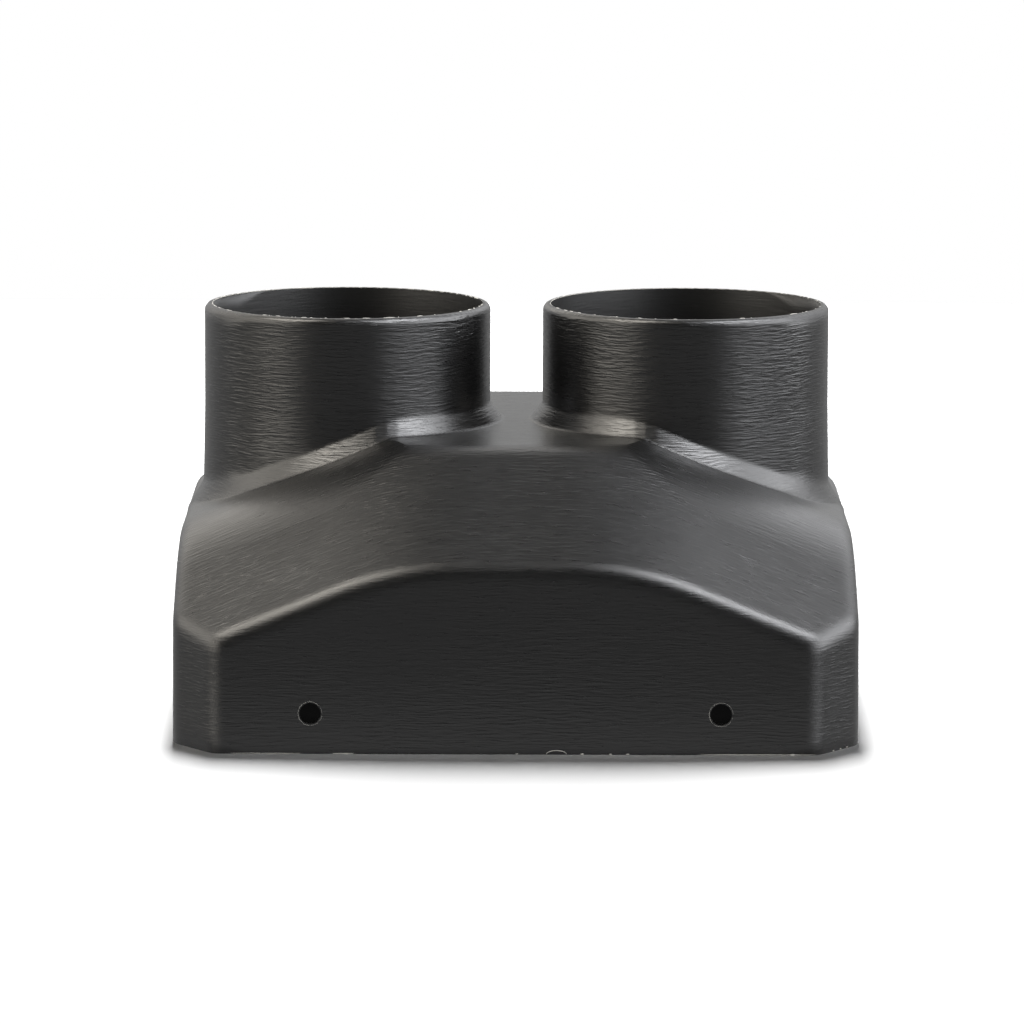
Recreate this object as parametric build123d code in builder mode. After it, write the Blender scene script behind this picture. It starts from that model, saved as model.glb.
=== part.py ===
import os
from math import cos, radians, sin, tan
from build123d import *

os.makedirs("parts", exist_ok=True)

# Overall sizes of the hood, in millimetres
base_width = 138.6
base_depth = 160.0
corner_cut = 8.8
corner_run = 12.0
wall = 1.6
wall_draft = 0.25
roof_height = 57.3
roof_half_width = 25.7
shoulder_pitch = 22.0

# Sloping front and back faces with their arched top line
arch_height = 37.6
arch_flat = 9.7
arch_radius = 73.0
face_pitch = 29.5

# Rounding of the edges
plan_round = 4.0
side_round = 9.0
ridge_round = 8.0
roof_round = 12.0
shoulder_round = 58.0
edge_round = 3.8

# Twin spigots
spigot_diameter = 60.0
spigot_spacing = 71.0
spigot_rise = 24.3
spigot_draft = 1.2
foot_reach = 2.6
foot_height = 3.6
foot_bend = 24.0
foot_steps = 4
rim_round = 1.3

# Screw holes in the front and back walls
screw_diameter = 4.3
screw_spacing = 82.2
screw_height = 8.2

# Values that follow from the sizes above
overlap = 20.0
hair = 0.002
spigot_radius = spigot_diameter / 2
rim_height = roof_height + spigot_rise
seat_height = roof_height + foot_height
side_reach = base_width / 2 + overlap


def roof_outline(inset):
    """Flat roof and two straight shoulders, drawn out past the base."""
    pitch = radians(shoulder_pitch)
    top = roof_height - inset
    flat = roof_half_width - inset * tan(pitch / 2)
    low = top - (side_reach - flat) * tan(pitch)
    with BuildSketch(Plane.XZ.offset(-base_depth)) as sketch:
        with BuildLine():
            FilletPolyline(
                (-side_reach, low),
                (-flat, top),
                (flat, top),
                (side_reach, low),
                radius=ridge_round - inset,
            )
            Polyline(
                (side_reach, low),
                (side_reach, -base_depth),
                (-side_reach, -base_depth),
                (-side_reach, low),
            )
        make_face()
    return sketch.sketch


def face_outline(inset, run):
    """Arched line of the sloping face, a run ahead of the front wall."""
    pitch = radians(shoulder_pitch)
    rise = tan(radians(face_pitch))
    drop = inset / cos(radians(face_pitch))
    radius = arch_radius - inset
    top = arch_height - drop - run * rise
    arc_x = arch_flat + radius * (1 - cos(pitch)) / tan(pitch / 2)
    arc_z = top - radius * (1 - cos(pitch))
    mid_x = arch_flat + radius * (1 - cos(pitch / 2)) / tan(pitch / 4)
    mid_z = top - radius * (1 - cos(pitch / 2))
    low = arc_z - (side_reach - arc_x) * tan(pitch)
    deep = low - 2 * base_depth
    with BuildSketch(Plane.XZ.offset(base_depth / 2 + run)) as sketch:
        with BuildLine():
            Polyline((-side_reach, low), (-arc_x, arc_z))
            ThreePointArc((-arc_x, arc_z), (-mid_x, mid_z), (-arch_flat, top))
            Line((-arch_flat, top), (arch_flat, top))
            ThreePointArc((arch_flat, top), (mid_x, mid_z), (arc_x, arc_z))
            Polyline(
                (arc_x, arc_z),
                (side_reach, low),
                (side_reach, deep),
                (-side_reach, deep),
                (-side_reach, low),
            )
        make_face()
    return sketch.sketch


def plan_block(inset, height):
    """Block on the base outline with cut corners and the draft of the walls."""
    half_width = base_width / 2
    half_depth = base_depth / 2
    with BuildPart() as block:
        with BuildSketch():
            with BuildLine():
                Polyline(
                    (half_width, 0),
                    (half_width, half_depth - corner_run),
                    (half_width - corner_cut, half_depth),
                    (0, half_depth),
                )
                mirror(about=Plane.YZ)
                mirror(about=Plane.XZ)
            make_face()
            if inset > 0:
                offset(amount=-inset, kind=Kind.INTERSECTION)
            fillet(vertices().group_by(Axis.X)[0], radius=side_round - inset)
            fillet(vertices().group_by(Axis.X)[-1], radius=side_round - inset)
            fillet(vertices().group_by(Axis.Y)[0], radius=plan_round - inset)
            fillet(vertices().group_by(Axis.Y)[-1], radius=plan_round - inset)
        extrude(amount=height, taper=wall_draft)
    return block.part


def shoulder_block(inset, side):
    """Bar along one shoulder whose crest is rounded far more softly than the roof."""
    pitch = radians(shoulder_pitch)
    rise = tan(radians(face_pitch))
    top = arch_height - inset / cos(radians(face_pitch))
    radius = arch_radius - inset
    arc_x = arch_flat + radius * sin(pitch)
    arc_z = top - radius * (1 - cos(pitch))
    flat = roof_half_width - inset * tan(pitch / 2)
    step = roof_height - inset - arc_z - (arc_x - flat) * tan(pitch)
    crest = base_depth / 2 - step / rise
    reach = base_depth
    low = (crest - reach) * rise * cos(pitch)
    along = (side * cos(pitch), 0, -sin(pitch))
    start = Plane((side * flat, 0, roof_height - inset + hair), (0, side, 0), along)
    with BuildPart() as bar:
        with BuildSketch(start.offset(-base_width)):
            with BuildLine():
                FilletPolyline(
                    (-reach, low),
                    (-crest, 0),
                    (crest, 0),
                    (reach, low),
                    radius=shoulder_round - inset,
                )
                Polyline((reach, low), (reach, -2 * reach), (-reach, -2 * reach), (-reach, low))
            make_face()
        extrude(amount=3 * base_width)
    return bar.part


def hood(inset):
    """Closed body of the hood, drawn in by an even inset on every face."""
    rise = tan(radians(face_pitch))
    with BuildPart() as roof:
        extrude(roof_outline(inset), amount=2 * base_depth, dir=(0, -1, 0))
        with BuildPart(mode=Mode.PRIVATE) as front:
            extrude(face_outline(inset, overlap), amount=3 * base_depth, dir=(0, 1, rise))
        add(front.part, mode=Mode.INTERSECT)
        mirror(front.part, about=Plane.XZ, mode=Mode.INTERSECT)
        crests = [
            edge
            for edge in roof.edges()
            if abs(edge.center().Y) < base_depth / 2
            and edge.center().Z > 0
            and abs(edge.tangent_at(0.5).Y) < 0.5
            and abs(edge.center().X) < side_reach - 1
        ]
        fillet(crests, radius=roof_round - inset)
        add(shoulder_block(inset, -1), mode=Mode.INTERSECT)
        add(shoulder_block(inset, 1), mode=Mode.INTERSECT)
    with BuildPart() as body:
        add(plan_block(inset, rim_height))
        add(roof.part, mode=Mode.INTERSECT)
        walls = [face for face in body.faces() if face.bounding_box().min.Z < 0.01 < face.center().Z]
        brow = [edge for face in walls for edge in face.edges() if edge.bounding_box().min.Z > 1]
        fillet(brow, radius=edge_round - inset)
    return body.part


def foot(side):
    """Conical foot of one spigot, bending in even steps from the roof to the shoulder."""
    axis_x = side * spigot_spacing / 2
    lean = foot_reach / foot_height
    deep = foot_height + spigot_rise
    wide = spigot_radius + foot_reach + deep * lean
    narrow = spigot_radius - lean
    bend_x = roof_half_width - foot_bend * tan(radians(shoulder_pitch) / 2)
    with BuildPart() as flare:
        add(plan_block(0.0, rim_height))
        for step in range(foot_steps + 1):
            tilt = radians(shoulder_pitch) * step / foot_steps
            fall = (spigot_spacing / 2 - bend_x - foot_bend * sin(tilt)) * tan(tilt)
            level = roof_height - foot_bend * (1 - cos(tilt)) - fall
            tilt_x = (cos(tilt), 0, -side * sin(tilt))
            tilt_z = (side * sin(tilt), 0, cos(tilt))
            with BuildPart(mode=Mode.PRIVATE) as cone:
                with BuildSketch(Plane((axis_x, 0, level - deep), tilt_x, tilt_z)):
                    Ellipse(wide / cos(tilt), wide)
                with BuildSketch(Plane((axis_x, 0, level + foot_height + 1), tilt_x, tilt_z)):
                    Ellipse(narrow / cos(tilt), narrow)
                loft(ruled=True)
            add(cone.part, mode=Mode.INTERSECT)
    return flare.part


with BuildPart() as duct_outlet:
    add(hood(0.0))
    add(foot(-1))
    add(foot(1))
    with Locations((-spigot_spacing / 2, 0), (spigot_spacing / 2, 0)):
        Cylinder(spigot_radius, rim_height, align=(Align.CENTER, Align.CENTER, Align.MIN))
        Cone(
            spigot_radius + seat_height * tan(radians(spigot_draft)),
            spigot_radius,
            seat_height,
            align=(Align.CENTER, Align.CENTER, Align.MIN),
        )
    fillet(duct_outlet.edges().filter_by(GeomType.CIRCLE).group_by(Axis.Z)[-1], radius=rim_round)
    add(hood(wall), mode=Mode.SUBTRACT)
    with Locations((-spigot_spacing / 2, 0), (spigot_spacing / 2, 0)):
        Cylinder(
            spigot_radius - wall,
            rim_height + overlap,
            align=(Align.CENTER, Align.CENTER, Align.MIN),
            mode=Mode.SUBTRACT,
        )
    with Locations(
        Location((-screw_spacing / 2, 0, screw_height), (90, 0, 0)),
        Location((screw_spacing / 2, 0, screw_height), (90, 0, 0)),
    ):
        Cylinder(screw_diameter / 2, base_depth + overlap, mode=Mode.SUBTRACT)

duct_outlet.part.label = "duct_outlet"
export_step(duct_outlet.part, "parts/duct_outlet.step")
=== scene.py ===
# %% [markdown]
# # Twin duct air outlet
#
# A black plastic hood with two round spigots, moulded in one piece. The solid comes from the packed
# model and is already the right shape, so this lesson is about its finish: the satin black plastic with
# its fine wavy grain, the pale burrs where the rims and the bottom edge were trimmed, the painted
# highlight round each screw hole, and the studio that makes such a dark thing readable.

# %% Load the imported model
from math import cos, pi, radians, sin

import bpy
from mathutils import Matrix, Vector

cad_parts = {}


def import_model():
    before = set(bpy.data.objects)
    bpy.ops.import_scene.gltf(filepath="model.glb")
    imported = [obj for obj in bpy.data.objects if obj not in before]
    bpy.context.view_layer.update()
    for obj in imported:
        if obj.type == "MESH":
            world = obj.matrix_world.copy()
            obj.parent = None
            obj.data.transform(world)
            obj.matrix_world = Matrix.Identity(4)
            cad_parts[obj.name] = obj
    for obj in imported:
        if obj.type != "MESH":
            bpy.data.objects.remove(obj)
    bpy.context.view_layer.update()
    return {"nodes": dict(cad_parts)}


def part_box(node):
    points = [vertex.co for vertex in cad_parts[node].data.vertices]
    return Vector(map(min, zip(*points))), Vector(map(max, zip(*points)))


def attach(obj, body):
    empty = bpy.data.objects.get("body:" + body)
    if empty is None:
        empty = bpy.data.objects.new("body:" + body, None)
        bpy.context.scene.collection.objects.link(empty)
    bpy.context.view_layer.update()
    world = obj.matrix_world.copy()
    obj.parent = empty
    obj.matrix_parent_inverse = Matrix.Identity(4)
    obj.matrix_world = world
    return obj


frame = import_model()
MM = 0.001
hood = frame["nodes"]["duct_outlet"]
low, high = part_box("duct_outlet")
print("hood size in mm:", [round(v / MM, 1) for v in high - low])

# %% [markdown]
# ## Camera
#
# The picture was taken from a good way off with a long lens, a little above the roof. A camera can be
# placed by eye, or worked out from points whose real place is known. The second way was used here: the
# rims, the bottom edge and the screw holes fix the distance, the height and the tilt.

# %% Camera
CAMERA_PLACE = Vector((-0.85 * MM, -1400 * MM, 245.1 * MM))
CAMERA_PITCH = radians(8.447)
CAMERA_ROLL = radians(0.179)
CAMERA_LENS = 235.75
SENSOR_WIDTH = 36.0
CLIP_RANGE = (0.01, 50.0)

camera = bpy.data.objects.new("camera", bpy.data.cameras.new("camera"))
camera.data.lens = CAMERA_LENS
camera.data.sensor_width = SENSOR_WIDTH
camera.data.clip_start, camera.data.clip_end = CLIP_RANGE
turn = Matrix.Rotation(pi / 2 - CAMERA_PITCH, 4, "X") @ Matrix.Rotation(CAMERA_ROLL, 4, "Z")
camera.matrix_world = Matrix.Translation(CAMERA_PLACE) @ turn
bpy.context.scene.collection.objects.link(camera)
bpy.context.scene.camera = camera
bpy.context.scene.view_settings.view_transform = "Standard"
print("camera at", [round(v, 3) for v in CAMERA_PLACE])

# %% [markdown]
# ## Helpers for node trees
#
# Materials, the studio background and the burrs are all node trees. One small function that adds a node,
# sets its options and links or fills its inputs keeps each tree short enough to read at a glance.


# %% Helpers for node trees
def add_node(tree, kind, options=None, **inputs):
    """Adds a node, sets its options, and links or fills its inputs by name, or by place as i0 or i1."""
    node = tree.nodes.new(kind)
    for name, value in (options or {}).items():
        setattr(node, name, value)
    for name, value in inputs.items():
        key = int(name[1:]) if name[0] == "i" and name[1:].isdigit() else name.replace("_", " ")
        socket = node.inputs[key]
        if isinstance(value, bpy.types.NodeSocket):
            tree.links.new(value, socket)
        else:
            socket.default_value = value
    return node


def math_node(tree, operation, *values):
    """A Math node on sockets or numbers; returns its output."""
    inputs = {f"i{index}": value for index, value in enumerate(values)}
    return add_node(tree, "ShaderNodeMath", {"operation": operation}, **inputs).outputs[0]


def vector_node(tree, operation, *values, **inputs):
    """A Vector Math node on sockets or vectors; returns its vector output."""
    inputs.update({f"i{index}": value for index, value in enumerate(values)})
    return add_node(tree, "ShaderNodeVectorMath", {"operation": operation}, **inputs).outputs["Vector"]


def range_node(tree, value, span, ends=(0.0, 1.0), soft=False):
    """A Map Range node from a span of a value to a pair of ends, even or with a soft start and stop."""
    options = {"interpolation_type": "SMOOTHSTEP" if soft else "LINEAR"}
    return add_node(
        tree, "ShaderNodeMapRange", options, Value=value,
        From_Min=span[0], From_Max=span[1], To_Min=ends[0], To_Max=ends[1],
    ).outputs[0]


def new_material(name):
    """An empty node material with its output and a Principled shader."""
    material = bpy.data.materials.new(name)
    material.use_nodes = True
    tree = material.node_tree
    tree.nodes.clear()
    shader = add_node(tree, "ShaderNodeBsdfPrincipled")
    output = add_node(tree, "ShaderNodeOutputMaterial")
    tree.links.new(shader.outputs["BSDF"], output.inputs["Surface"])
    return material, tree, shader


helpers = (add_node, math_node, vector_node, range_node, new_material)
print("helpers:", [helper.__name__ for helper in helpers])

# %% [markdown]
# ## Places on the hood
#
# The plastic isn't the same all over: inside the spigots it is smoother, low on the walls its grain is
# fainter, and some edges are rounder than others. Such zones could be painted on the mesh, but its
# triangles are too uneven for that. The material works them out from the place on the hood instead.
# Besides the height it needs three distances: sideways and lengthways from the middle, and from the axis
# of the nearer spigot.

# %% Places on the hood
SPIGOT_X = 35.5

plastic, tree, shader = new_material("satin_black_plastic")
place = add_node(tree, "ShaderNodeTexCoord").outputs["Object"]
axes = add_node(tree, "ShaderNodeSeparateXYZ", Vector=place).outputs
sideways = math_node(tree, "ABSOLUTE", axes["X"])
lengthways = math_node(tree, "ABSOLUTE", axes["Y"])
aside = math_node(tree, "SUBTRACT", sideways, SPIGOT_X * MM)
off_axis = add_node(tree, "ShaderNodeCombineXYZ", X=aside, Y=axes["Y"]).outputs[0]
radius = add_node(tree, "ShaderNodeVectorMath", {"operation": "LENGTH"}, i0=off_axis).outputs["Value"]
print("spigot axes", SPIGOT_X, "mm to each side of the middle")

# %% [markdown]
# ## Zones of the plastic
#
# A zone is a number that is one inside it and nought outside. A sharp border would show as a line in the
# gloss, so every zone fades in or out between two distances. Multiplying zones gives the place where they
# meet: the foot of a spigot, for one, is near the axis, below the hose seat and outside the bore.

# %% Zones of the plastic
# Pairs of distances in millimetres, between which a zone begins or ends
BORE_WALL = (28.6, 29.4)
FOOT_END = (32.8, 34.4)
SEAT_HEIGHT = (64.0, 70.0)
CREST_START = (40.0, 45.0)
CREST_END = (50.0, 56.0)
FLANK_START = (52.0, 60.0)
BROW_START = (68.0, 73.0)
ABOVE_SCREWS = (13.0, 17.0)


def past(value, edge):
    """Nought before an edge and one past it."""
    return range_node(tree, value, [distance * MM for distance in edge], soft=True)


def before(value, edge):
    """One before an edge and nought past it."""
    return math_node(tree, "SUBTRACT", 1.0, past(value, edge))


def meeting(first, *others):
    """The zone where all the given zones meet."""
    for other in others:
        first = math_node(tree, "MULTIPLY", first, other)
    return first


outside = past(radius, BORE_WALL)
below_seat = before(axes["Z"], SEAT_HEIGHT)
zones = {
    "foot": meeting(before(radius, FOOT_END), below_seat, outside),
    "flank": past(sideways, FLANK_START),
    "crest": meeting(before(radius, CREST_END), past(radius, CREST_START), below_seat),
    "brow": meeting(past(lengthways, BROW_START), past(axes["Z"], ABOVE_SCREWS)),
}
print("zones:", list(zones))

# %% [markdown]
# ## Grain of the plastic
#
# The real surface is black all through. What the eye reads is gloss: soft highlights broken up by fine
# wavy ridges that run level round the spigots and walls, and across the sloping faces. Ridges a few
# hundredths of a millimetre deep would need millions of faces, so they are a bump. Noise stretched along
# the surface makes the ridges, and a broader noise bends them so that no two run quite parallel. On
# upright walls the height sets the ridges apart, and on the slopes the distance from the front does, with
# a pitch of its own.

# %% Grain of the plastic
RIDGE_PITCH = 0.42 * MM
SLOPE_PITCH = 0.55 * MM
RIDGE_RUN = 4.5 * MM
RIDGE_WANDER = 0.45 * MM
WANDER_SIZE = 8.0 * MM
SLOPE_FACING = (0.55, 0.8)
NOISE_MIDDLE = (0.5, 0.5, 0.5)

facing = add_node(tree, "ShaderNodeNewGeometry").outputs["Normal"]
upward = add_node(tree, "ShaderNodeSeparateXYZ", Vector=facing).outputs["Z"]
level = range_node(tree, math_node(tree, "ABSOLUTE", upward), SLOPE_FACING, soft=True)

wander = add_node(tree, "ShaderNodeTexNoise", Vector=place, Scale=1 / WANDER_SIZE, Detail=1.0)
wander = vector_node(tree, "SUBTRACT", wander.outputs["Color"], NOISE_MIDDLE)
wander = vector_node(tree, "SCALE", wander, Scale=2 * RIDGE_WANDER)
bent = vector_node(tree, "ADD", place, wander)


def ridges(stretch):
    """Noise drawn out along the surface; stretch gives its size along each axis."""
    drawn = vector_node(tree, "MULTIPLY", bent, tuple(1 / size for size in stretch))
    return add_node(
        tree, "ShaderNodeTexNoise", Vector=drawn, Scale=1.0, Detail=2.0, Roughness=0.55,
    ).outputs[0]


on_walls = ridges((RIDGE_RUN, RIDGE_RUN, RIDGE_PITCH))
on_slopes = ridges((RIDGE_RUN, SLOPE_PITCH, RIDGE_RUN))
height = add_node(
    tree, "ShaderNodeMix", {"data_type": "FLOAT"}, Factor=level, i2=on_walls, i3=on_slopes,
).outputs[0]
print("ridges every", round(RIDGE_PITCH / MM, 2), "mm on walls,", round(SLOPE_PITCH / MM, 2), "mm on slopes")

# %% [markdown]
# ## Strength of the grain
#
# The ridges aren't equally strong everywhere. They are strongest on the spigots, fainter low on the walls
# and faintest inside the bores, and they come and go in patches about two centimetres wide. One strength
# for the whole hood would be simpler, but then the low walls look as rough as the spigots. Here each cause
# gives a share, and the shares are multiplied.

# %% Strength of the grain
PATCH_SIZE = 22.0 * MM
NOISE_SPAN = (0.3, 0.7)
ZONE_SPAN = (0.0, 1.0)
PATCH_GRAIN = (0.45, 1.0)
BORE_GRAIN = (0.25, 1.0)
LOW_WALL_GRAIN = (0.6, 1.0)
LOW_WALL_END = (42.0, 54.0)
SLOPE_GRAIN = 0.7

patches = add_node(tree, "ShaderNodeTexNoise", Vector=place, Scale=1 / PATCH_SIZE, Detail=2.0).outputs[0]
walls_share = range_node(tree, past(axes["Z"], LOW_WALL_END), ZONE_SPAN, LOW_WALL_GRAIN)
slopes_share = math_node(tree, "MULTIPLY", level, SLOPE_GRAIN)
grain = meeting(
    range_node(tree, patches, NOISE_SPAN, PATCH_GRAIN),
    range_node(tree, outside, ZONE_SPAN, BORE_GRAIN),
    math_node(tree, "MAXIMUM", walls_share, slopes_share),
)
print("patches of", round(PATCH_SIZE / MM, 1), "mm")

# %% [markdown]
# ## Softened edges
#
# The real edges are rounded a little more than the solid's, and each foot of the solid is built from a few
# plain cones. A bevel modifier could round them further, but it would thin the wall. The Bevel node evens
# out the shading instead, and only at the feet, the flanks, the crest and the brow, so that the rims and
# the screw holes stay crisp.

# %% Softened edges
SOFT_RADII = {"foot": 1.19 * MM, "flank": 4.08 * MM, "crest": 3.4 * MM, "brow": 3.74 * MM}
SOFT_SAMPLES = 6

rounding = 0.0
for zone, soft_radius in SOFT_RADII.items():
    reach = math_node(tree, "MULTIPLY", zones[zone], soft_radius)
    rounding = math_node(tree, "MAXIMUM", reach, rounding)
softened = add_node(tree, "ShaderNodeBevel", {"samples": SOFT_SAMPLES}, Radius=rounding).outputs[0]
print("shading rounded by up to", round(max(SOFT_RADII.values()) / MM, 2), "mm")

# %% [markdown]
# ## Satin black plastic
#
# The finish brings it all together. The grain bumps the softened shading, the backs of the ridges are a
# little glossier than the dips between them, and the black is slightly greyer in some patches. Plain black
# with one roughness would do for a small picture, but close up it looks like lacquer.

# %% Satin black plastic
RIDGE_DEPTH = 0.17 * MM
RIDGE_ROUGHNESS = (0.33, 0.27)
INSIDE_ROUGHNESS = 0.42
PLASTIC_BLACK = (0.007, 0.007, 0.0072, 1.0)
PLASTIC_GREY = (0.010, 0.0099, 0.0099, 1.0)
INSIDE_GREY = (0.008, 0.008, 0.0077, 1.0)
PLASTIC_IOR = 1.5

bump = add_node(
    tree, "ShaderNodeBump", Strength=grain, Distance=RIDGE_DEPTH, Height=height, Normal=softened,
).outputs[0]
tone = add_node(
    tree, "ShaderNodeMix", {"data_type": "RGBA"}, Factor=patches, i6=PLASTIC_BLACK, i7=PLASTIC_GREY,
).outputs[2]
tone = add_node(
    tree, "ShaderNodeMix", {"data_type": "RGBA"}, Factor=outside, i6=INSIDE_GREY, i7=tone,
).outputs[2]
gloss = add_node(
    tree, "ShaderNodeMix", {"data_type": "FLOAT"}, Factor=outside, i2=INSIDE_ROUGHNESS,
    i3=range_node(tree, height, NOISE_SPAN, RIDGE_ROUGHNESS),
).outputs[0]
for output, name in ((bump, "Normal"), (tone, "Base Color"), (gloss, "Roughness")):
    tree.links.new(output, shader.inputs[name])
shader.inputs["IOR"].default_value = PLASTIC_IOR

hood.data.materials.clear()
hood.data.materials.append(plastic)
print("plastic of", len(tree.nodes), "nodes on", len(hood.data.polygons), "faces")

# %% [markdown]
# ## Pale plastic for burrs and painted highlights
#
# Where a mould flash has been cut or torn off, the plastic is rough and scatters light, so it looks pale
# beside the gloss. One plain material does for all the burrs: at this size no pattern on it could be seen.
# The same pale colour draws the thin ring round each screw hole, and there it is a painted highlight on
# the lit edge of the hole.

# %% Pale plastic for burrs and painted highlights
# The pale colour is the burrs' own. On the screw-hole rings it is a painted highlight.
BURR_AND_HIGHLIGHT_COLOUR = (0.75, 0.73, 0.67, 1.0)
BURR_AND_HIGHLIGHT_ROUGHNESS = 0.65

burr_and_highlight_finish, tree, shader = new_material("pale_burr_and_highlight")
shader.inputs["Base Color"].default_value = BURR_AND_HIGHLIGHT_COLOUR
shader.inputs["Roughness"].default_value = BURR_AND_HIGHLIGHT_ROUGHNESS
print("burr colour", BURR_AND_HIGHLIGHT_COLOUR[:3])

# %% [markdown]
# ## Paths of the trimmed edges
#
# Burrs sit only where something was trimmed: the inner edge of each rim and the bottom edge. The four
# screw holes get a pale ring on the same kind of path, a painted highlight on the lit edge of each hole.
# They could be modelled one by one, or scattered over the whole surface and masked. A path along each edge
# is simpler, because a burr never leaves its edge. Every point of a path carries two numbers: how thick a
# burr is there, and how much of the path keeps one.

# %% Paths of the trimmed edges
PATH_STEP = 0.2
UNBROKEN = 2.0
paths = {"points": [], "edges": [], "thickness": [], "keep": []}


def add_path(points, thickness, keep=UNBROKEN):
    """Joins points in millimetres into one open path; keep above 1 leaves no gaps."""
    first = len(paths["points"])
    paths["points"] += [Vector(point) * MM for point in points]
    paths["edges"] += [(first + i, first + i + 1) for i in range(len(points) - 1)]
    paths["thickness"] += [thickness * MM] * len(points)
    paths["keep"] += [keep] * len(points)


def ring(centre, radius, lying):
    """Points round a circle that lies flat or stands facing the front."""
    count = round(2 * pi * radius / PATH_STEP)
    around = [2 * pi * index / count for index in range(count + 1)]
    tilt = Vector((0, 1, 0)) if lying else Vector((0, 0, 1))
    return [Vector(centre) + radius * (Vector((1, 0, 0)) * cos(a) + tilt * sin(a)) for a in around]


def straight(start, end):
    """Points along a straight line."""
    start, end = Vector(start), Vector(end)
    count = max(2, round((end - start).length / PATH_STEP))
    return [start.lerp(end, index / count) for index in range(count + 1)]


print("a point about every", PATH_STEP, "mm")

# %% [markdown]
# ## Rims and screw holes
#
# Each rim has a fine unbroken line of flash with loose flecks on top of it, a few more on the left than on
# the right. Each screw hole has a hair-thin pale ring, a painted highlight on the lit edge of the hole.
# They could be drawn by hand, but all of them are circles, so one function gives them all, and the loops
# keep left and right, front and back in step.

# %% Rims and screw holes
RIM_RADIUS = 28.42
RIM_HEIGHT = 81.53
RIM_LINE = 0.08
RIM_FLECK = 0.17
RIM_FLECKS_KEPT = {-1: 0.47, 1: 0.43}
HOLE_X = 41.1
HOLE_Z = 8.2
HOLE_HIGHLIGHT_RADIUS = 2.4
HOLE_HIGHLIGHT_LINE = 0.02
WALL_Y = 79.97

for side, share in RIM_FLECKS_KEPT.items():
    rim = (side * SPIGOT_X, 0, RIM_HEIGHT)
    add_path(ring(rim, RIM_RADIUS, True), RIM_LINE)
    add_path(ring(rim, RIM_RADIUS, True), RIM_FLECK, share)
    for wall in (-1, 1):
        hole = (side * HOLE_X, wall * WALL_Y, HOLE_Z)
        # Painted highlight: a hair-thin pale ring stands for the lit edge of the screw hole.
        add_path(ring(hole, HOLE_HIGHLIGHT_RADIUS, False), HOLE_HIGHLIGHT_LINE)
print(len(paths["points"]), "points on rims and screw holes")

# %% [markdown]
# ## Bottom edge
#
# Along the bottom of the front wall there are a few short burrs and some long faint ones, three flecks on
# the cut corner at the right, and one nick shaped like a low arch. Chance could place them, but the eye
# goes to this edge, so each is listed with a start, an end and a thickness.

# %% Bottom edge
FRONT_Y = -80.0
BOTTOM_LIFT = 0.14
BOTTOM_BURRS = (
    (-57.0, -43.0, 0.05), (-36.6, -32.4, 0.08), (0.0, 0.5, 0.13), (13.0, 13.7, 0.13),
    (18.7, 19.3, 0.12), (22.1, 22.8, 0.12), (37.0, 60.0, 0.06), (54.9, 55.9, 0.16),
)
CORNER_START = Vector((61.5, -79.0, 0.2))
CORNER_END = Vector((68.5, -69.5, 0.2))
CORNER_SHARES = (0.30, 0.52, 0.72)
CORNER_FLECK = Vector((0.35, -0.1, 0.25))
CORNER_THICKNESS = 0.16

for start, end, thickness in BOTTOM_BURRS:
    add_path(straight((start, FRONT_Y, BOTTOM_LIFT), (end, FRONT_Y, BOTTOM_LIFT)), thickness)
for share in CORNER_SHARES:
    corner = CORNER_START.lerp(CORNER_END, share)
    add_path(straight(corner, corner + CORNER_FLECK), CORNER_THICKNESS)

NICK_X = 8.2
NICK_Y = -80.02
NICK_LIFT = 0.1
NICK_REACH = 2.0
NICK_HEIGHT = 0.75
NICK_STEPS = 24
NICK_THICKNESS = 0.075

arch = [pi * index / NICK_STEPS for index in range(NICK_STEPS + 1)]
nick = [(NICK_X + NICK_REACH * cos(a), NICK_Y, NICK_HEIGHT * sin(a) + NICK_LIFT) for a in arch]
add_path(nick, NICK_THICKNESS)
print(len(paths["points"]), "points on all the trimmed edges")

# %% [markdown]
# ## Loose strings along the paths
#
# A Geometry Nodes tree turns the paths into burrs, and the screw-hole paths into rings of painted
# highlight. First a noise that changes over about a millimetre is compared with the share kept at each
# point. The points that lose are deleted, which leaves short loose strings, and the rest wander a little
# off the edge. Doing it with noise and not by hand means that another seed gives another equally likely
# part.

# %% Loose strings along the paths
BURR_AND_HIGHLIGHT_SIZES = {"Clump": 0.9 * MM, "Wander": 0.07 * MM, "Seed": 4.0}

burr_and_highlight_tree = bpy.data.node_groups.new("trim_burrs_and_highlights", "GeometryNodeTree")
burr_and_highlight_tree.interface.new_socket(name="Path", in_out="INPUT", socket_type="NodeSocketGeometry")
ids = {}
for name in BURR_AND_HIGHLIGHT_SIZES:
    socket = burr_and_highlight_tree.interface.new_socket(name=name, in_out="INPUT", socket_type="NodeSocketFloat")
    ids[name] = socket.identifier
finish_socket = burr_and_highlight_tree.interface.new_socket(name="Finish", in_out="INPUT", socket_type="NodeSocketMaterial")
burr_and_highlight_tree.interface.new_socket(name="Burrs", in_out="OUTPUT", socket_type="NodeSocketGeometry")
given = add_node(burr_and_highlight_tree, "NodeGroupInput").outputs

where = add_node(burr_and_highlight_tree, "GeometryNodeInputPosition").outputs[0]
clumps = add_node(
    burr_and_highlight_tree, "ShaderNodeTexNoise", {"noise_dimensions": "4D"}, Vector=where, W=given["Seed"],
    Scale=math_node(burr_and_highlight_tree, "DIVIDE", 1.0, given["Clump"]), Detail=1.0,
).outputs
keep = add_node(burr_and_highlight_tree, "GeometryNodeInputNamedAttribute", Name="keep").outputs[0]
lost = math_node(burr_and_highlight_tree, "GREATER_THAN", clumps["Fac"], keep)
left = add_node(burr_and_highlight_tree, "GeometryNodeDeleteGeometry", Geometry=given["Path"], Selection=lost).outputs[0]

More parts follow.
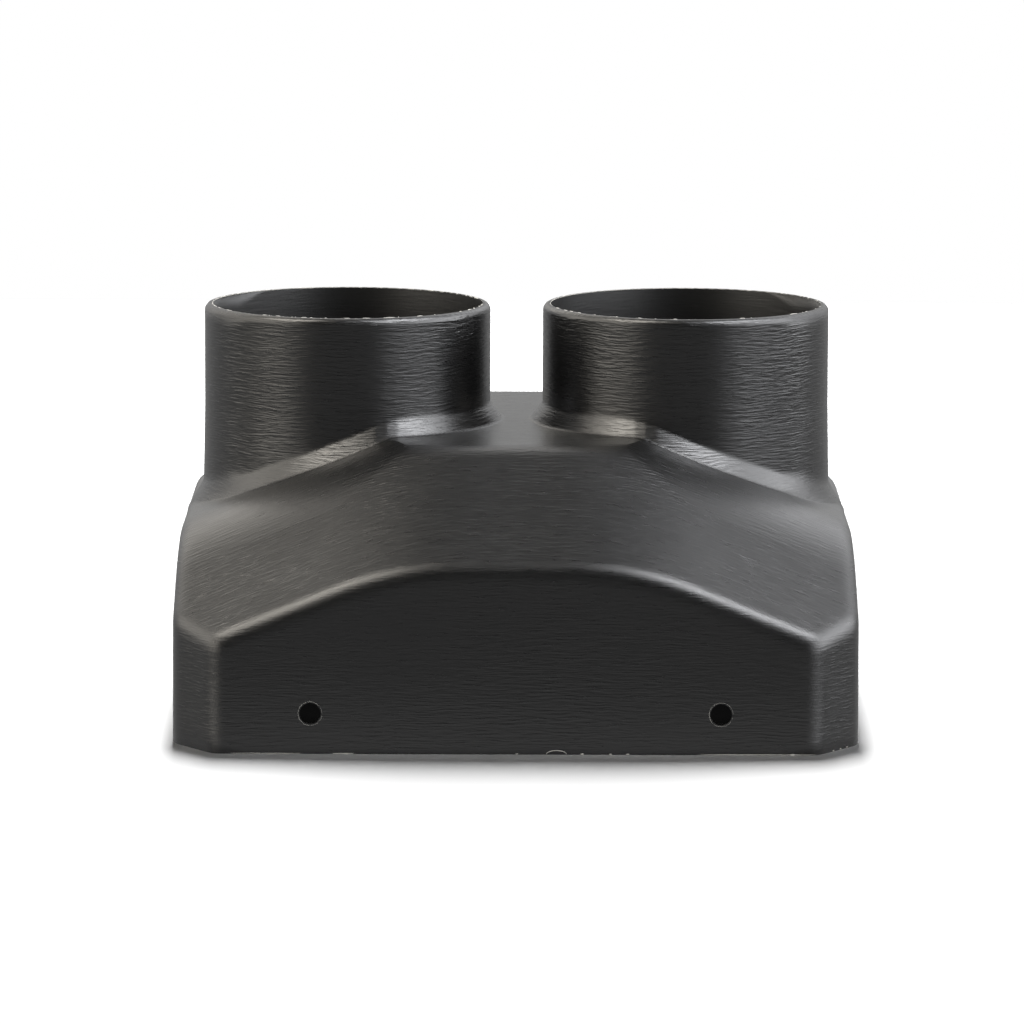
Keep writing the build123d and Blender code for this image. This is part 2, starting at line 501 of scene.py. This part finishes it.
shift = vector_node(burr_and_highlight_tree, "SUBTRACT", clumps["Color"], NOISE_MIDDLE)
shift = vector_node(burr_and_highlight_tree, "SCALE", shift, Scale=given["Wander"])
moved = add_node(burr_and_highlight_tree, "GeometryNodeSetPosition", Geometry=left, Offset=shift).outputs[0]
strings = add_node(burr_and_highlight_tree, "GeometryNodeMeshToCurve", Mesh=moved).outputs[0]
print("sizes of the burrs:", list(BURR_AND_HIGHLIGHT_SIZES))

# %% [markdown]
# ## Tubes round the strings
#
# Each string then becomes a thin tube that swells in its middle and narrows to a blunt tip at both ends.
# An even tube would look like wire. Six sides are enough, because a burr is only a pixel or two wide in
# the picture.

# %% Tubes round the strings
TUBE_SIDES = 6
SWELL_FLOOR = 0.02
SWELL_POWER = 0.3

along = add_node(burr_and_highlight_tree, "GeometryNodeSplineParameter").outputs["Factor"]
swell = math_node(burr_and_highlight_tree, "SINE", math_node(burr_and_highlight_tree, "MULTIPLY", along, pi))
swell = math_node(burr_and_highlight_tree, "POWER", math_node(burr_and_highlight_tree, "MAXIMUM", swell, SWELL_FLOOR), SWELL_POWER)
thick = add_node(burr_and_highlight_tree, "GeometryNodeInputNamedAttribute", Name="thickness").outputs[0]
profile = add_node(burr_and_highlight_tree, "GeometryNodeCurvePrimitiveCircle", Resolution=TUBE_SIDES, Radius=1.0).outputs[0]
tubes = add_node(
    burr_and_highlight_tree, "GeometryNodeCurveToMesh", Curve=strings, Profile_Curve=profile,
    Scale=math_node(burr_and_highlight_tree, "MULTIPLY", thick, swell), Fill_Caps=True,
).outputs[0]
whole = add_node(burr_and_highlight_tree, "GeometryNodeRealizeInstances", Geometry=tubes).outputs[0]
coated = add_node(burr_and_highlight_tree, "GeometryNodeSetMaterial", Geometry=whole, Material=given["Finish"]).outputs[0]
add_node(burr_and_highlight_tree, "NodeGroupOutput", Burrs=coated)
print("burr tree of", len(burr_and_highlight_tree.nodes), "nodes")

# %% [markdown]
# ## Burrs and highlight rings as a plain mesh
#
# The paths become a mesh of loose edges with the two numbers as attributes, and the tree runs on it as a
# modifier. A live modifier would do for the picture. The finished tubes are kept as a plain mesh instead,
# because that is what goes along with the hood when the model leaves Blender.

# %% Burrs and highlight rings as a plain mesh
path_mesh = bpy.data.meshes.new("burr_and_highlight_paths")
path_mesh.from_pydata(paths["points"], paths["edges"], [])
for name in ("thickness", "keep"):
    path_mesh.attributes.new(name, "FLOAT", "POINT").data.foreach_set("value", paths[name])
trim_burrs_and_highlights = bpy.data.objects.new("trim_burrs_and_highlights", path_mesh)
bpy.context.scene.collection.objects.link(trim_burrs_and_highlights)
modifier = trim_burrs_and_highlights.modifiers.new("trim_burrs_and_highlights", "NODES")
modifier.node_group = burr_and_highlight_tree
for name, value in BURR_AND_HIGHLIGHT_SIZES.items():
    modifier[ids[name]] = value
modifier[finish_socket.identifier] = burr_and_highlight_finish

evaluated = trim_burrs_and_highlights.evaluated_get(bpy.context.evaluated_depsgraph_get())
plain = bpy.data.meshes.new_from_object(evaluated)
trim_burrs_and_highlights.modifiers.clear()
trim_burrs_and_highlights.data = plain
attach(trim_burrs_and_highlights, "root")
print("burrs:", len(plain.polygons), "faces", [m.name for m in plain.materials])

# %% [markdown]
# ## The studio: what the gloss mirrors
#
# A black object is only seen by what it mirrors, so the studio is painted on the world as a few soft round
# patches of light. A box hangs high on each side and draws the highlights on the arched edge and the feet,
# and a lower strip beside it draws the upright bands on the spigots. A side patch lights the cut corners
# and a back patch the shoulders. In front and straight above it stays dark, which keeps the front wall
# black. A white wall behind lights the flat roof. Real lamps would do the same, but a patch can be given as
# a direction, a width and a brightness, and its edge can be very soft.

# %% The studio: what the gloss mirrors
# Turn from the camera side, lift above level, edge of the full light and edge of the fade, all in degrees,
# and the brightness
SOFT_PATCHES = {
    "left_box": (-74, 61, 6, 20, 12.6),
    "right_box": (74, 61, 6, 20, 18.0),
    "left_strip": (-60, 10, 0, 27, 4.7),
    "right_strip": (57, 10, 0, 31, 5.2),
    "left_side": (-96, 25, 0, 32, 3.0),
    "right_side": (97, 25, 0, 33, 6.6),
    "left_back": (-153, 36, 0, 28, 1.5),
    "right_back": (153, 36, 0, 28, 1.8),
}
LEFT_TINT = (1.06, 1.0, 0.90)
RIGHT_TINT = (0.99, 1.0, 1.03)
WHITE = (1.0, 1.0, 1.0)
WALL_BRIGHTNESS = (0.66, 0.066)
WALL_RISE = (0.2, 1.0)
WALL_FRONT = (-0.1, 0.35)
HORIZON = (-0.04, 0.0)
FLOOR_MIRRORED = 0.40

world = bpy.data.worlds.new("studio")
world.use_nodes = True
bpy.context.scene.world = world
sky = world.node_tree
sky.nodes.clear()
way = add_node(sky, "ShaderNodeTexCoord").outputs["Generated"]
axes = add_node(sky, "ShaderNodeSeparateXYZ", Vector=way).outputs

wall = range_node(sky, axes["Z"], WALL_RISE, WALL_BRIGHTNESS, soft=True)
wall = math_node(sky, "MULTIPLY", wall, range_node(sky, axes["Y"], WALL_FRONT, soft=True))
light = vector_node(sky, "SCALE", WHITE, Scale=wall)
for turn, lift, full, gone, brightness in SOFT_PATCHES.values():
    tint = LEFT_TINT if turn < 0 else RIGHT_TINT
    turn, lift = radians(turn), radians(lift)
    aim = (cos(lift) * sin(turn), -cos(lift) * cos(turn), sin(lift))
    toward = add_node(sky, "ShaderNodeVectorMath", {"operation": "DOT_PRODUCT"}, i0=way, i1=aim)
    edge = (cos(radians(gone)), cos(radians(full)))
    patch = range_node(sky, toward.outputs["Value"], edge, (0.0, brightness), soft=True)
    light = vector_node(sky, "ADD", light, vector_node(sky, "SCALE", tint, Scale=patch))
light = vector_node(sky, "SCALE", light, Scale=range_node(sky, axes["Z"], HORIZON, soft=True))
ground_light = range_node(sky, axes["Z"], HORIZON, (FLOOR_MIRRORED, 0.0), soft=True)
light = vector_node(sky, "ADD", light, vector_node(sky, "SCALE", WHITE, Scale=ground_light))
print("soft patches:", list(SOFT_PATCHES))

# %% [markdown]
# ## The studio: white background
#
# In the picture the background is plain white, although the gloss mirrors a mostly dark room. A white room
# would turn the black plastic grey. So the world answers each ray by its kind: white to the camera, the
# soft patches to the gloss, and nothing to matt surfaces, which have lamps of their own.

# %% The studio: white background
seen = add_node(sky, "ShaderNodeLightPath").outputs["Is Camera Ray"]
mirrored = add_node(sky, "ShaderNodeBackground", Color=light).outputs[0]
backdrop = add_node(sky, "ShaderNodeBackground", Color=(*WHITE, 1.0)).outputs[0]
room = add_node(sky, "ShaderNodeMixShader", i0=seen, i1=mirrored, i2=backdrop).outputs[0]
add_node(sky, "ShaderNodeOutputWorld", Surface=room)
world.cycles_visibility.diffuse = False
print("world of", len(sky.nodes), "nodes")

# %% [markdown]
# ## The studio: lamps
#
# The hood stands in a short soft shadow that lies only in front. A sun would give a shadow too, but one
# that is equally soft on all sides. A lamp high behind, long from front to back and narrow from side to
# side, gives one that fades slowly in front and quickly at its ends. A second, weak lamp low in front
# reaches the pale burrs. Neither shows in the gloss.

# %% The studio: lamps
# Direction towards the lamp, then distance, width and length in metres, and power in watts
LAMPS = {
    "high_behind": ((-0.012, 0.48, 0.88), 1.5, 0.2, 1.1, 40.0),
    "low_front": ((0.0, -1.0, 0.1), 1.6, 0.6, 0.6, 14.0),
}

for name, (aim, distance, width, length, power) in LAMPS.items():
    lamp = bpy.data.lights.new(name, "AREA")
    lamp.shape = "RECTANGLE"
    lamp.size, lamp.size_y = width, length
    lamp.energy = power
    stand = bpy.data.objects.new(name, lamp)
    toward = Vector(aim).normalized()
    stand.location = toward * distance
    stand.rotation_mode = "QUATERNION"
    stand.rotation_quaternion = toward.to_track_quat("Z", "Y")
    stand.visible_glossy = False
    stand.visible_camera = False
    bpy.context.scene.collection.objects.link(stand)
print("lamps:", list(LAMPS))

# %% [markdown]
# ## The studio: paper
#
# The hood stands on a square of white paper. Where the paper ends, the white world takes over. A plain
# white floor would be simpler, but it makes the low walls too pale. So the gloss doesn't see the paper, and
# to all rays but the camera's it is a middle grey.

# %% The studio: paper
PAPER_SIZE = (1.4, 1.4)
PAPER_WHITE = 0.9
MATT_ROUGHNESS = 0.9


def grey(value):
    """A grey as a colour."""
    return (value, value, value, 1.0)


def sheet(name, size, height, material):
    """A flat rectangle on the stage, centred under the hood."""
    x, y = size[0] / 2, size[1] / 2
    corners = [(-x, -y, height), (x, -y, height), (x, y, height), (-x, y, height)]
    mesh = bpy.data.meshes.new(name)
    mesh.from_pydata(corners, [], [(0, 1, 2, 3)])
    mesh.materials.append(material)
    piece = bpy.data.objects.new(name, mesh)
    bpy.context.scene.collection.objects.link(piece)
    return piece


paper, tree, shader = new_material("white_paper")
seen = add_node(tree, "ShaderNodeLightPath").outputs["Is Camera Ray"]
pale = add_node(
    tree, "ShaderNodeMix", {"data_type": "RGBA"}, Factor=seen, i6=grey(FLOOR_MIRRORED), i7=grey(PAPER_WHITE),
).outputs[2]
tree.links.new(pale, shader.inputs["Base Color"])
shader.inputs["Roughness"].default_value = MATT_ROUGHNESS
shader.inputs["Specular IOR Level"].default_value = 0.0
ground = sheet("paper", PAPER_SIZE, low.z, paper)
ground.visible_glossy = False
print("paper of", PAPER_SIZE, "m")

# %% [markdown]
# ## The studio: cards
#
# Photographers put cards where a lamp would do too much. The black card on the floor inside the hood is
# painted shade: it stands for the shade under the hollow hood, so the screw holes look black. A narrow
# glowing card in front is seen only in the gloss, and lifts the low front wall.

# %% The studio: cards
CARD_SIZE = (124 * MM, 146 * MM)
CARD_LIFT = 0.2 * MM
CARD_PAINTED_SHADE = 0.004
REFLECTOR_SIZE = (0.3, 0.04)
REFLECTOR_LIFT = 0.1 * MM
REFLECTOR_Y = -0.102
REFLECTOR_BRIGHTNESS = 0.75

# Painted shade: this black sheet inside the hood stands for the shade under the hollow hood.
painted_shade_finish, tree, shader = new_material("painted_shade_card")
shader.inputs["Base Color"].default_value = grey(CARD_PAINTED_SHADE)
shader.inputs["Roughness"].default_value = MATT_ROUGHNESS
shader.inputs["Specular IOR Level"].default_value = 0.0
sheet("card", CARD_SIZE, low.z + CARD_LIFT, painted_shade_finish)

glow, tree, shader = new_material("reflector")
shader.inputs["Base Color"].default_value = grey(0.0)
shader.inputs["Emission Color"].default_value = grey(1.0)
shader.inputs["Emission Strength"].default_value = REFLECTOR_BRIGHTNESS
reflector = sheet("reflector", REFLECTOR_SIZE, low.z + REFLECTOR_LIFT, glow)
reflector.location.y = REFLECTOR_Y
reflector.visible_camera = False
reflector.visible_diffuse = False
reflector.visible_shadow = False
print("black card of", CARD_SIZE, "m, reflector of", REFLECTOR_SIZE, "m")
